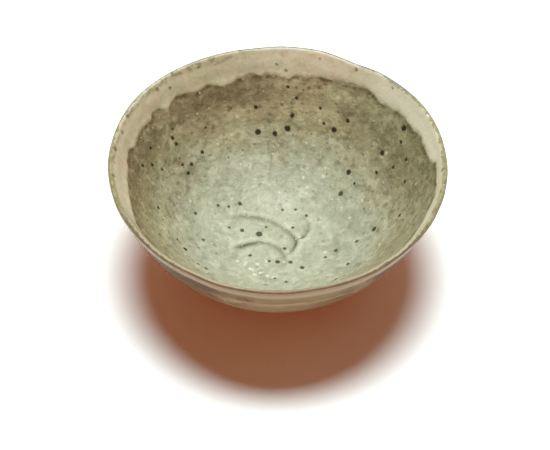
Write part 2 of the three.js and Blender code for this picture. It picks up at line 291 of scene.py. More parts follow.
class Curve:
    """A cubic Bezier of the section, read by share of its length."""

    def __init__(self, *points):
        self.points = np.array(points, float)
        self.t = np.linspace(0, 1, CURVE_SAMPLES)
        steps = np.hypot(*np.diff(self._at(self.t), axis=0).T)
        self.lengths = np.concatenate([[0], np.cumsum(steps)])
        self.length = self.lengths[-1]

    def _at(self, t):
        a, b, c, d = self.points
        t = np.asarray(t)[..., None]
        return a * (1 - t) ** 3 + 3 * b * t * (1 - t) ** 2 + 3 * c * t * t * (1 - t) + d * t ** 3

    def sample(self, share):
        """Points and unit tangents at shares of the length."""
        t = np.interp(np.asarray(share) * self.length, self.lengths, self.t)
        a, b, c, d = self.points
        s = t[..., None]
        tangent = (b - a) * (1 - s) ** 2 + 2 * (c - b) * s * (1 - s) + (d - c) * s * s
        tangent /= np.linalg.norm(tangent, axis=-1, keepdims=True)
        return self._at(t), tangent


RIM_RADIUS = RIM_DIAMETER / 2 - PALE_LIP_GLAZE
LIP_TOP = BOWL_HEIGHT - PALE_LIP_GLAZE
FLOOR_HEIGHT = WELL_DEPTH + FLOOR_THICKNESS
FOOT_RADIUS = FOOT_DIAMETER / 2
BELLY_X = FOOT_RADIUS + FOOT_FLARE + BELLY_OUT
BELLY_Z = FOOT_HEIGHT + BELLY_UP
INNER_TURN = (BELLY_X - BELLY_WALL_IN, BELLY_Z - BELLY_WALL_DOWN)
LIP_RADIUS = LIP_THICKNESS / 2
LIP_CENTRE = (RIM_RADIUS - LIP_RADIUS, LIP_TOP - LIP_RADIUS)


def lip_point(angle):
    return (LIP_CENTRE[0] + LIP_RADIUS * math.cos(angle), LIP_CENTRE[1] + LIP_RADIUS * math.sin(angle))


# Angles at which the lip's round edge meets the inner and the outer wall without a corner
TURN_ACROSS = INNER_TURN[0] - LIP_CENTRE[0]
TURN_DOWN = INNER_TURN[1] - LIP_CENTRE[1]
LIP_START = (2 * math.pi + math.atan2(TURN_DOWN, TURN_ACROSS)
             - math.acos(LIP_RADIUS / math.hypot(TURN_ACROSS, TURN_DOWN)))
LIP_END = -math.atan2(LIP_LEAN_IN, LIP_LEAN_DOWN)
OUTER_TOP = lip_point(LIP_END)
INNER_WALL = Curve(
    (0, FLOOR_HEIGHT),
    (FLOOR_LEVEL_RUN, FLOOR_HEIGHT),
    INNER_TURN,
    lip_point(LIP_START),
)
OUTER_WALL = Curve(
    OUTER_TOP,
    (OUTER_TOP[0] - LIP_LEAN_IN, OUTER_TOP[1] - LIP_LEAN_DOWN),
    (BELLY_X, BELLY_Z),
    (FOOT_RADIUS + FOOT_FLARE, FOOT_HEIGHT),
)
THETA = np.arange(SIDES) * 2 * math.pi / SIDES


def uneven(kind):
    """Seeded sum of waves around the bowl, from its millimetres, most lobes and seed."""
    reach, lobes, seed = kind
    rng = np.random.default_rng(seed)
    total = np.zeros(SIDES)
    for _ in range(WAVE_COUNT):
        count = rng.integers(lobes // 3, lobes + 1)
        total += np.sin(count * THETA + rng.uniform(0, 2 * math.pi))
    return reach * (total / WAVE_SCALE)


def around(places):
    """Values for every side, smooth between places given as (angle in degrees, value)."""
    angles = np.array([a for a, _ in places] + [360], float)
    values = np.array([v for _, v in places] + [places[0][1]], float)
    degrees = np.degrees(THETA)
    index = np.clip(np.searchsorted(angles, degrees, side="right") - 1, 0, len(angles) - 2)
    blend = smoothstep(degrees, angles[index], angles[index + 1])
    return values[index] + (values[index + 1] - values[index]) * blend


# The rim's outline, and the green glaze's edge with its fine scallops as shares of the inner wall's length
RIM_OUT = around(RIM_OUTLINE)
EDGE_DROP = around(GREEN_EDGE) + uneven(EDGE_SCALLOPS) + np.abs(uneven(EDGE_NICKS))
EDGE_SHARE = (1 - EDGE_DROP / INNER_WALL.length)[None, :]
MEAN_EDGE = 1 - sum(drop for _, drop in GREEN_EDGE) / len(GREEN_EDGE) / INNER_WALL.length


def inside_share(base):
    """Shares of the inner wall's length for rings below the green edge, drawn with that edge."""
    pull = smoothstep(base, (FLOOR_SHARE + MEAN_EDGE) / 2, MEAN_EDGE)
    return base[:, None] + (EDGE_SHARE - MEAN_EDGE) * pull[:, None]


def finger_groove(along):
    """The climbing throwing groove, 0 to 1, at millimetres along a wall."""
    return 0.5 - 0.5 * np.cos(2 * math.pi * along / THROWING_PITCH - THETA)


def along_curve(points, strengths):
    """Places, directions and strengths along a smooth curve through the points."""
    points = np.array(points, float)
    padded = np.concatenate([2 * points[:1] - points[1:2], points, 2 * points[-1:] - points[-2:-1]])
    u = np.linspace(0, len(points) - 1 - 1e-6, STROKE_PLACES)
    k = u.astype(int)
    t = (u - k)[:, None]
    a, b, c, d = (padded[k + i] for i in range(4))
    bend = 2 * a - 5 * b + 4 * c - d
    twist = 3 * b - a - 3 * c + d
    places = 0.5 * (2 * b + (c - a) * t + bend * t ** 2 + twist * t ** 3)
    directions = np.gradient(places, axis=0)
    directions /= np.linalg.norm(directions, axis=1, keepdims=True)
    return places, directions, np.interp(u, np.arange(len(points)), strengths)


def floor_mark(x, y):
    """Depth of the finger strokes, and their painted shade and highlight: 1 where glaze pools, below 0 on a
    ridge.
    """
    depth = np.zeros(x.shape)
    shade = np.zeros(x.shape)
    for points, strengths in STROKES:
        places, directions, press = along_curve(points, strengths)
        low, high = places.min(axis=0) - STROKE_REACH, places.max(axis=0) + STROKE_REACH
        near = (x > low[0]) & (x < high[0]) & (y > low[1]) & (y < high[1])
        dx = x[near][:, None] - places[None, :, 0]
        dy = y[near][:, None] - places[None, :, 1]
        nearest = np.argmin(dx * dx + dy * dy, axis=1)
        rows = np.arange(len(nearest))
        dx, dy = dx[rows, nearest], dy[rows, nearest]
        side = directions[nearest, 0] * dy - directions[nearest, 1] * dx
        off = np.copysign(np.hypot(dx, dy), side)
        strength = press[nearest]
        outer = 0.5 + 0.5 * np.tanh(off / STROKE_STEP_WIDTH)
        cut = STROKE_CUT * (1 - outer) * np.exp(-np.maximum(-off, 0) / STROKE_CUT_RUN)
        lift = STROKE_LIFT * outer * np.exp(-np.maximum(off, 0) / STROKE_LIFT_RUN)
        depth[near] += strength * (cut - lift)
        width = np.where(off < POOL_SHADE_PLACE, *POOL_SHADE_WIDTHS)
        dark = np.exp(-(((off - POOL_SHADE_PLACE) / width) ** 2))
        light = np.exp(-(((off - RIDGE_PLACE) / RIDGE_WIDTH) ** 2))
        mark = strength * (dark - RIDGE_HIGHLIGHT * light)
        shade[near] = np.where(np.abs(mark) > np.abs(shade[near]), mark, shade[near])
    return depth, shade


def spot_field(surface, spots):
    """Millimetres inside the nearest of the round spots, negative outside, for every place of a surface."""
    field = np.full(surface.shape[:-1], SPOT_FAR)
    for x, y, diameter in spots:
        off = np.hypot(surface[..., 0] - x, surface[..., 1] - y)
        centre = surface.reshape(-1, 3)[np.argmin(off)]
        near = off < diameter + SPOT_REACH
        inside = diameter / 2 - np.linalg.norm(surface[near] - centre, axis=-1)
        field[near] = np.maximum(field[near], inside)
    return field


def cloud_field(surface):
    """Signed strength of the cloudy patches at every place of a surface."""
    field = np.zeros(surface.shape[:-1])
    for x, y, reach, strength in CLOUDS:
        off = np.hypot(surface[..., 0] - x, surface[..., 1] - y)
        field += strength * np.exp(-((off / reach) ** 2))
    return field


def warped(radius, z):
    """Places on the bowl, with the hand-made rim's outline and wave growing up the wall."""
    share = (z / BOWL_HEIGHT) ** 2
    lift = RIM_WAVE * np.sin(RIM_WAVES * THETA)
    r = radius + share * RIM_OUT
    return np.stack([r * np.cos(THETA), r * np.sin(THETA), z + share * lift], axis=-1)


def inside_rings(share):
    """Clay surface inside the bowl for an array of shares by side."""
    flat, tangent = INNER_WALL.sample(share)
    wall_start = smoothstep(share, FLOOR_SHARE, 2 * FLOOR_SHARE)
    wall_part = wall_start * (1 - smoothstep(share, INSIDE_GROOVE_END, 1))
    groove = INSIDE_GROOVE * wall_part * finger_groove(share * INNER_WALL.length)
    depth = groove + floor_mark(flat[..., 0] * np.cos(THETA), flat[..., 0] * np.sin(THETA))[0]
    radius = flat[..., 0] + tangent[..., 1] * depth
    z = flat[..., 1] - tangent[..., 0] * depth
    return warped(radius, z)


def lip_rings(turns):
    """Clay surface over the lip for shares of its turn, 0 inside to 1 outside."""
    angle = (LIP_START + (LIP_END - LIP_START) * turns)[:, None] + np.zeros(SIDES)
    return warped(LIP_CENTRE[0] + LIP_RADIUS * np.cos(angle), LIP_CENTRE[1] + LIP_RADIUS * np.sin(angle))


def outside_rings(share):
    """Clay surface outside the bowl for an array of shares by side."""
    flat, tangent = OUTER_WALL.sample(share)
    wall_part = smoothstep(share, 0, OUTSIDE_GROOVE_START) * (1 - smoothstep(share, OUTSIDE_GROOVE_END, 1))
    groove = OUTSIDE_GROOVE * wall_part * finger_groove(share * OUTER_WALL.length)
    radius = flat[..., 0] + tangent[..., 1] * groove
    z = flat[..., 1] - tangent[..., 0] * groove
    return warped(radius, z)


def foot_rings():
    """Foot ring and well, with the trimmed edges rounded over a few rings."""
    inner = FOOT_RADIUS - FOOT_RING_WIDTH
    corners = [
        (FOOT_RADIUS + FOOT_FLARE * 0.5, FOOT_HEIGHT * 0.55),
        (FOOT_RADIUS, FOOT_BEVEL),
        (FOOT_RADIUS - FOOT_BEVEL * 0.3, FOOT_BEVEL * 0.3),
        (FOOT_RADIUS - FOOT_BEVEL, 0),
        (FOOT_RADIUS - FOOT_RING_WIDTH / 2, 0),
        (inner + FOOT_BEVEL, 0),
        (inner + FOOT_BEVEL * 0.3, FOOT_BEVEL * 0.3),
        (inner, FOOT_BEVEL),
        (inner - FOOT_FLARE, WELL_DEPTH - WELL_FILLET),
        (inner - FOOT_FLARE - WELL_FILLET * 0.3, WELL_DEPTH - WELL_FILLET * 0.3),
        (inner - FOOT_FLARE - WELL_FILLET, WELL_DEPTH),
        (inner * 0.7, WELL_DEPTH + WELL_DOME * 0.3),
        (inner * 0.5, WELL_DEPTH + WELL_DOME * 0.5),
        (inner * 0.25, WELL_DEPTH + WELL_DOME * 0.8),
    ]
    return np.stack([warped(np.full(SIDES, r), np.full(SIDES, z)) for r, z in corners])


def normals(grid, pole=None):
    """Outward direction at every point of a grid of rings, from its neighbours."""
    along = np.gradient(grid, axis=0)
    across = np.roll(grid, -1, axis=1) - np.roll(grid, 1, axis=1)
    if pole is not None:
        along[0] = grid[1] - pole
    n = np.cross(along, across)
    return n / np.maximum(np.linalg.norm(n, axis=-1, keepdims=True), 1e-9)


def add_object(name, data):
    obj = bpy.data.objects.new(name, data)
    bpy.context.scene.collection.objects.link(obj)
    return obj


def make_skin(name, rings, start_pole=None, end_pole=None, borders=()):
    """Closed mesh through rings of points, from pole to pole, or round to the first ring without poles.

    The rings numbered in borders are where a coat folds back under itself, and shade as sharp edges.
    """
    count = len(rings)
    verts = np.concatenate(rings).astype(np.float32)
    side = np.arange(SIDES)
    following = (side + 1) % SIDES
    near = np.arange(count if start_pole is None else count - 1)[:, None] * SIDES
    far = (near + SIDES) % len(verts)
    quads = np.stack([near + side, far + side, far + following, near + following], axis=-1).reshape(-1, 4)
    tris = np.zeros((0, 3), int)
    if start_pole is not None:
        first = len(verts)
        verts = np.concatenate([verts, np.array([start_pole, end_pole], np.float32)])
        fan = np.stack([np.full(SIDES, first), side, following], axis=1)
        end = first - SIDES
        cap = np.stack([end + side, np.full(SIDES, first + 1), end + following], axis=1)
        tris = np.concatenate([fan, cap])
    mesh = bpy.data.meshes.new(name)
    mesh.vertices.add(len(verts))
    mesh.vertices.foreach_set("co", (verts * MM).ravel())
    mesh.loops.add(quads.size + tris.size)
    mesh.loops.foreach_set("vertex_index", np.concatenate([quads.ravel(), tris.ravel()]))
    mesh.polygons.add(len(quads) + len(tris))
    starts = np.concatenate([np.arange(0, quads.size, 4), quads.size + np.arange(0, tris.size, 3)])
    mesh.polygons.foreach_set("loop_start", starts)
    mesh.update(calc_edges=True)
    mesh.validate()
    mesh.shade_smooth()
    edges = np.zeros(len(mesh.edges) * 2, np.int32)
    mesh.edges.foreach_get("vertices", edges)
    ring = edges.reshape(-1, 2) // SIDES
    mesh.edges.foreach_set("use_edge_sharp", (ring[:, 0] == ring[:, 1]) & np.isin(ring[:, 0], borders))
    return add_object(name, mesh)


def add_fields(obj, fields, first):
    """Give a coat the fields of its surface, in front and at the back down to the ring of that number."""
    for name, values in fields.items():
        both = np.concatenate([values, values[first:-1][::-1]]).ravel()
        if len(both) < len(obj.data.vertices):
            both = np.concatenate([both, both[[0, -1]]])
        obj.data.attributes.new(name, "FLOAT", "POINT").data.foreach_set("value", both.astype(np.float32))
    return obj


# Share of the outer wall's length at which the pale coat ends, for every side
end_wave = sum(share * np.cos(count * THETA + turn) for count, turn, share in FOOT_LINE_WAVES)
end_height = GLAZE_ABOVE_FOOT + FOOT_LINE_WAVE * (0.5 + 0.5 * end_wave) + uneven(FOOT_LINE_FINE)
pale_end_share = (1 - end_height / OUTER_WALL.length)[None, :]

# Rings of the clay surface, inside, over the lip and outside
edge_zone = np.cumsum(np.linspace(*EDGE_RING_GAPS, EDGE_RINGS))[::-1] / INNER_WALL.length
floor_and_wall = np.linspace(POLE_GAP, MEAN_EDGE - edge_zone[0] - EDGE_GAP, INSIDE_RINGS)
share_inside = inside_share(np.concatenate([floor_and_wall, MEAN_EDGE - edge_zone]))
band_steps = np.concatenate([BAND_CLOSE, np.linspace(*BAND_EVEN, BAND_RINGS)])
share_band = EDGE_SHARE + (1 - EDGE_SHARE) * band_steps[:, None]
outer_steps = np.concatenate([np.linspace(*OUTSIDE_EVEN, OUTSIDE_RINGS), OUTSIDE_CLOSE])

clay_inside = inside_rings(share_inside)
clay_edge = inside_rings(EDGE_SHARE)
clay_band = inside_rings(share_band)
clay_lip = lip_rings(np.linspace(0, 1, LIP_RINGS))
clay_outside = outside_rings(pale_end_share * outer_steps[:, None])
clay_pale_end = outside_rings(pale_end_share)
bare_steps = np.linspace(0, 1, BARE_RINGS + 1)[1:, None]
clay_bare = outside_rings(pale_end_share + (1 - pale_end_share) * bare_steps)
clay_foot = foot_rings()
floor_pole = inside_rings(np.zeros((1, SIDES)))[0, 0]
well_pole = np.array([0, 0, WELL_DEPTH + WELL_DOME])


def clay_body():
    rings = np.concatenate([clay_inside, clay_edge, clay_band, clay_lip, clay_outside, clay_pale_end,
                            clay_bare, clay_foot])
    return make_skin("clay_pot", rings, floor_pole, well_pole)


def green_glaze():
    """Green coat: front from the floor up to the edge, back down the clay again."""
    surface = np.concatenate([clay_inside, clay_edge])
    below = np.concatenate([EDGE_SHARE - share_inside, np.zeros((1, SIDES))]) * INNER_WALL.length
    thickness = GREEN_GLAZE * (1 - np.exp(-below / GREEN_RISE))
    front = surface + normals(surface, floor_pole) * thickness[..., None]
    rings = np.concatenate([front, clay_inside[::-1]])
    top_pole = floor_pole + [0, 0, GREEN_GLAZE]
    obj = make_skin("green_glaze_coat", rings, top_pole, floor_pole, [len(surface) - 1])
    return add_fields(obj, {
        "edge_mm": below,
        "stroke": floor_mark(surface[..., 0], surface[..., 1])[1],
        "iron_mm": spot_field(surface, IRON_SPECKS),
        "grit_and_glint_mm": spot_field(surface, WHITE_GRIT_AND_GLINTS),
        "stain_mm": spot_field(surface, STAINS),
        "cloud": cloud_field(surface),
    }, 0)


def pale_glaze():
    """Pale coat: from the ragged edge over the lip and down to its lower line, and back under itself."""
    surface = np.concatenate([clay_edge, clay_band, clay_lip, clay_outside, clay_pale_end])
    above = (share_band - EDGE_SHARE) * INNER_WALL.length
    t_band = PALE_GLAZE * (1 - np.exp(-above / PALE_RISE))
    t_lip = np.full((len(clay_lip), SIDES), PALE_LIP_GLAZE)
    left = (1 - outer_steps)[:, None] * pale_end_share * OUTER_WALL.length
    roll = PALE_FOOT_ROLL * np.exp(-((left - FOOT_ROLL_PLACE) / FOOT_ROLL_WIDTH) ** 2)
    t_out = PALE_GLAZE * (1 - np.exp(-left / FOOT_LINE_RUN)) + roll
    zero = np.zeros((1, SIDES))
    thickness = np.concatenate([zero, t_band, t_lip, t_out, zero])
    front = surface + normals(surface) * thickness[..., None]
    rings = np.concatenate([front, surface[1:-1][::-1]])
    obj = make_skin("pale_glaze_coat", rings, borders=[0, len(surface) - 1])
    lip_inside = LIP_RADIUS * (LIP_START - math.pi / 2)
    lip_outside = LIP_RADIUS * (math.pi / 2 - LIP_END)
    inside = (1 - np.concatenate([EDGE_SHARE, share_band])) * INNER_WALL.length + lip_inside
    over = np.linspace(lip_inside, -lip_outside, len(clay_lip))[:, None] + zero
    steps = np.concatenate([outer_steps, [1]])[:, None]
    outside = -(pale_end_share * steps * OUTER_WALL.length + lip_outside)
    path = np.concatenate([inside, over, outside])
    line, light, moss, low = (around([(place[0], place[k]) for place in LIP_LOOK]) for k in range(1, 5))
    return add_fields(obj, {
        "from_lip_mm": path,
        "above_edge_mm": np.concatenate([zero, above, EDGE_FAR + over * 0, EDGE_FAR + outside * 0]),
        "above_line_mm": path - line,
        "lip_highlight": path * 0 + light,
        "moss_mm": path * 0 + moss,
        "past_low_mm": -path - low,
        "tick_mm": spot_field(surface, TICKS),
    }, 1)


def linear(colour):
    """Linear colour from a screen colour, red, green and blue from 0 to 255."""
    values = [v / 255 for v in colour]
    return (*(v / 12.92 if v <= 0.04045 else ((v + 0.055) / 1.055) ** 2.4 for v in values), 1)


class Tree:
    """Short way to build a node tree, for the floor and the world."""

    def __init__(self, tree):
        self.tree = tree

    def new(self, kind):
        return self.tree.nodes.new("ShaderNode" + kind)

    def link(self, source, target):
        self.tree.links.new(source, target)

    def put(self, socket, value):
        if isinstance(value, bpy.types.NodeSocket):
            self.link(value, socket)
        else:
            socket.default_value = value

    def math(self, operation, *values):
        node = self.new("Math")
        node.operation = operation
        for socket, value in zip(node.inputs, values):
            self.put(socket, value)
        return node.outputs[0]

    def looked_at(self):
        """1 for rays from the camera, a reflection or a clear piece, 0 for rays that light the object."""
        path = self.new("LightPath")
        total = path.outputs["Is Camera Ray"]
        for name in ("Is Glossy Ray", "Is Transmission Ray"):
            total = self.math("MAXIMUM", total, path.outputs[name])
        return total


class Nodes(Tree):
    """Short way to build the material of a piece."""

    def __init__(self, name):
        self.material = bpy.data.materials.new(name)
        self.material.use_nodes = True
        super().__init__(self.material.node_tree)
        self.tree.nodes.clear()
        self.shader = self.new("BsdfPrincipled")
        self.shader.inputs["Specular IOR Level"].default_value = SATIN_SPECULAR
        self.link(self.shader.outputs[0], self.new("OutputMaterial").inputs[0])
        self.mm = self.vector("MULTIPLY", self.new("TexCoord").outputs["Object"], (1 / MM, 1 / MM, 1 / MM))

    def times(self, a, b):
        return self.math("MULTIPLY", a, b)

    def plus(self, a, b):
        return self.math("ADD", a, b)

    def minus(self, a, b):
        return self.math("SUBTRACT", a, b)

    def times_plus(self, a, b, c):
        return self.math("MULTIPLY_ADD", a, b, c)

    def vector(self, operation, a, b=(0, 0, 0)):
        node = self.new("VectorMath")
        node.operation = operation
        self.link(a, node.inputs[0])
        node.inputs[1].default_value = b
        return node.outputs[0]

    def attribute(self, name):
        node = self.new("Attribute")
        node.attribute_name = name
        return node.outputs["Fac"]

    def noise(self, size, detail, rough, offset=0, vector=None):
        """Noise about 0 to 1 with features of that many millimetres. The offset serves as its seed."""
        node = self.new("TexNoise")
        place = self.vector("ADD", vector or self.mm, (offset, offset * 0.7, -offset * 1.3))
        for name, value in (("Vector", place), ("Scale", 1 / size), ("Detail", detail), ("Roughness", rough)):
            self.put(node.inputs[name], value)
        return node.outputs["Fac"]

    def swing(self, reach, size, detail, rough, offset=0):
        """Noise with features of that many millimetres, about half the reach to either side of 0."""
        return self.times(self.minus(self.noise(size, detail, rough, offset), 0.5), reach)

    def compass(self):
        """How far a place lies to the side (x) and to the back (y) of the bowl, each -1 to 1."""
        split = self.new("SeparateXYZ")
        self.link(self.vector("NORMALIZE", self.vector("MULTIPLY", self.mm, (1, 1, 0))), split.inputs[0])
        return split.outputs[0], split.outputs[1]

    def ringed(self, across, along):
        """Coordinates drawn out round the bowl: feature sizes in mm across and along the throwing lines."""
        split = self.new("SeparateXYZ")
        self.link(self.mm, split.inputs[0])
        x, y, z = split.outputs
        radius = self.math("SQRT", self.plus(self.times(x, x), self.times(y, y)))
        turn = self.math("MAXIMUM", radius, STREAK_CORE)
        joined = self.new("CombineXYZ")
        for side, socket in zip(self.compass(), joined.inputs):
            self.link(self.times(self.times(side, turn), 1 / along), socket)
        self.link(self.times(self.plus(radius, z), 1 / across), joined.inputs[2])
        return joined.outputs[0]

    def voronoi(self, size, offset):
        """Distance in millimetres to scattered points and two random values of each."""
        node = self.new("TexVoronoi")
        self.link(self.vector("ADD", self.mm, (offset, -offset, offset * 0.6)), node.inputs["Vector"])
        node.inputs["Scale"].default_value = 1 / size
        split = self.new("SeparateColor")
        self.link(node.outputs["Color"], split.inputs[0])
        return self.times(node.outputs["Distance"], size), split.outputs[0], split.outputs[1]

    def ramp(self, value, low, high):
        """0 below low, 1 above high, smooth between."""
        node = self.new("MapRange")
        node.interpolation_type = "SMOOTHSTEP"
        for name, number in (("Value", value), ("From Min", low), ("From Max", high)):
            self.put(node.inputs[name], number)
        return node.outputs[0]

    def mix(self, factor, a, b):
        """Colour a to b, each a socket or a screen colour. Sockets 6, 7 and 2 are the node's colour ones."""
        node = self.new("Mix")
        node.data_type = "RGBA"
        node.clamp_factor = True
        self.put(node.inputs[0], factor)
        for socket, value in ((node.inputs[6], a), (node.inputs[7], b)):
            self.put(socket, value if isinstance(value, bpy.types.NodeSocket) else linear(value))
        return node.outputs[2]

    def coats(self, colour, *coats):
        """Colours laid over one another in turn, each given as its places, its share there and its tone."""
        for places, share, tone in coats:
            colour = self.mix(self.times(places, share), colour, tone)
        return colour

    def colours(self, value, stops):
        """Colour ramp over a value, with stops as (place, screen colour)."""
        low = stops[0][0]
        high = stops[-1][0]
        node = self.new("ValToRGB")
        self.link(self.math("DIVIDE", self.minus(value, low), high - low), node.inputs[0])
        elements = node.color_ramp.elements
        elements[0].color = linear(stops[0][1])
        elements[1].color = linear(stops[-1][1])
        for place, colour in stops[1:-1]:
            elements.new((place - low) / (high - low)).color = linear(colour)
        return node.outputs[0]

    def complete(self, colour, roughness, height):
        """The material from its colour, its roughness and its relief in millimetres."""
        self.link(colour, self.shader.inputs["Base Color"])
        self.put(self.shader.inputs["Roughness"], roughness)
        bump = self.new("Bump")
        bump.inputs["Distance"].default_value = MM
        self.link(height, bump.inputs["Height"])
        self.link(bump.outputs[0], self.shader.inputs["Normal"])
        return self.material


def specks(n, size, share, least, most, offset):
    """Scattered specks: cells of that size, the share of cells that hold one, radius range in mm."""
    distance, pick, grow = n.voronoi(size, offset)
    wobble = n.swing(0.5, 0.5, 2, 0.6, offset)
    radius = n.times_plus(grow, most - least, least)
    inside = n.minus(radius, n.plus(distance, wobble))
    chosen = n.math("LESS_THAN", pick, share)
    return n.times(n.ramp(inside, -0.08, 0.12), chosen)


def placed_specks(n, attribute, offset):
    """Specks at the places of a field, with uneven outlines."""
    wobble = n.swing(1.1, 0.6, 3, 0.6, offset)
    return n.ramp(n.plus(n.attribute(attribute), wobble), -0.42, 0.22)


def lumps(n, size, offset, share, core, least, grow):
    """Scattered soft lumps: cell size, share of cells that hold one, flat core, least radius and range."""
    distance, pick, wide = n.voronoi(size, offset)
    return n.times(n.ramp(distance, n.times_plus(wide, grow, least), core), n.math("LESS_THAN", pick, share))


def green_material():
    n = Nodes("green_glaze")
    # Brown at the ragged edge to grey-green on the floor, by millimetres below the edge
    below = n.attribute("edge_mm")
    depth = n.plus(below, n.times(n.swing(22, 9, 3, 0.6), n.ramp(below, 0.5, 8)))
    colour = n.colours(depth, [
        (0, (124, 106, 72)), (3, (138, 122, 86)), (9, (150, 138, 102)), (16, (164, 156, 120)),
        (28, (174, 171, 139)), (42, (176, 181, 155)), (80, (180, 186, 163)),
    ])
    # Warmer and lighter at the back, partly a tint and partly painted light; browner at the right and lighter
    # at the front
    east, north = n.compass()
    ahead = n.minus(n.times(east, 0.3), north)
    colour = n.coats(
        colour,
        (n.times(n.ramp(north, 0.45, 0.9), n.ramp(depth, 34, 12)), 0.55, (203, 180, 142)),
        (n.times(n.ramp(east, 0.2, 0.8), n.ramp(depth, 26, 8)), 0.75, (147, 145, 111)),
        (n.times(n.ramp(ahead, 0.3, 0.65), n.ramp(depth, 24, 6)), 0.7, (178, 176, 140)),
    )
    # Streaks, and light and dull clouds of several sizes
    deep = n.ramp(below, 28, 46)
    pale = n.mix(n.ramp(depth, 10, 36), (204, 196, 154), (210, 212, 190))
    streak = n.noise(1, 4, 0.62, 3, n.ringed(2, 6))
    broad = n.noise(7, 3, 0.58, 44)
    dull = n.ramp(n.noise(3, 3, 0.55, 29), 0.48, 0.7)
    cloud = n.times(n.attribute("cloud"), n.times_plus(n.noise(2.4, 3, 0.6, 37), 1.6, 0.2))
    colour = n.coats(
        colour,
        (n.ramp(streak, 0.45, 0.75), 0.12, pale),
        (n.ramp(broad, 0.5, 0.7), 0.3, pale),
        (n.ramp(broad, 0.5, 0.32), 0.25, (132, 124, 90)),
        (n.ramp(n.noise(3.6, 2.5, 0.55, 13), 0.46, 0.7), 0.6, pale),
        (dull, n.times_plus(deep, -0.3, 0.62), n.mix(deep, (114, 106, 76), (132, 134, 104))),
        (cloud, 0.55, pale),
        (cloud, -0.75, n.mix(deep, (108, 88, 60), (138, 142, 112))),
        (n.ramp(n.noise(0.9, 3, 0.6, 55), 0.5, 0.75), 0.12, (118, 112, 84)),
    )
    # Brown line along the edge, with blotches and stains
    line = n.times(n.ramp(below, 2.4, 0.7), n.ramp(below, 0, 0.5))
    line_share = n.times_plus(n.ramp(n.noise(4, 3, 0.6, 90), 0.42, 0.6), 0.55, 0.1)
    blotch = n.times(n.ramp(n.noise(2.6, 4, 0.6, 97), 0.52, 0.66), n.ramp(below, 5, 1))
    stain = n.plus(n.attribute("stain_mm"), n.times(n.noise(0.9, 3, 0.6, 19), 0.8))
    colour = n.coats(
        colour,
        (line, line_share, (96, 82, 46)),
        (n.ramp(below, 0.5, 0), 0.7, n.mix(n.ramp(east, 0.2, 0.8), (150, 132, 92), (160, 154, 116))),
        (blotch, 0.5, (84, 68, 44)),
        (n.ramp(stain, -0.3, 0.7), 0.65, (84, 58, 26)),
    )
    # Lumps and dips of the skin, the lumps painted lighter as highlights and the dips painted darker as
    # shade, and glaze pooled in the finger strokes with painted shade there and a painted highlight on their
    # ridges
    lump = lumps(n, 3.4, 67, 0.45, 0.1, 0.5, 0.7)
    dip = lumps(n, 4.2, 29, 0.5, 0.2, 0.7, 0.9)
    stroke = n.attribute("stroke")
    colour = n.coats(
        colour,
        (lump, 0.4, pale),
        (dip, 0.42, (104, 98, 68)),
        (stroke, 0.75, (92, 94, 62)),
        (stroke, -0.6, (222, 224, 206)),
    )
    # White grit, partly painted glints, dust and iron specks
    fine_grit_and_glints = n.times(specks(n, 2.4, 0.5, 0.15, 0.45, 7), 0.75)
    grit_and_glints = n.math("MAXIMUM", fine_grit_and_glints, placed_specks(n, "grit_and_glint_mm", 23))
    small = n.math("MAXIMUM", specks(n, 2.6, 0.4, 0.15, 0.4, 41), specks(n, 5, 0.35, 0.3, 0.6, 141))
    iron = placed_specks(n, "iron_mm", 77)
    colour = n.coats(
        colour,
        (grit_and_glints, 0.65, n.mix(deep, (236, 224, 190), (236, 238, 218))),
        (specks(n, 1.7, 0.4, 0.15, 0.35, 201), 0.35, (104, 104, 74)),
        (small, n.times_plus(deep, -0.35, 0.8), (72, 66, 44)),
        (iron, n.times_plus(deep, -0.12, 0.96), (38, 32, 10)),
    )
    rough = n.plus(n.times_plus(n.noise(1.1, 3, 0.6, 3), 0.25, 0.3), n.times(iron, 0.4))
    height = n.times(n.noise(1.1, 2, 0.5, 5), 0.1)
    waves = n.noise(3.2, 3, 0.55, 17)
    for relief, reach in ((waves, 0.65), (streak, 0.08), (lump, 0.16), (dip, -0.12), (iron, -0.12)):
        height = n.plus(height, n.times(relief, reach))
    return n.complete(colour, rough, height)


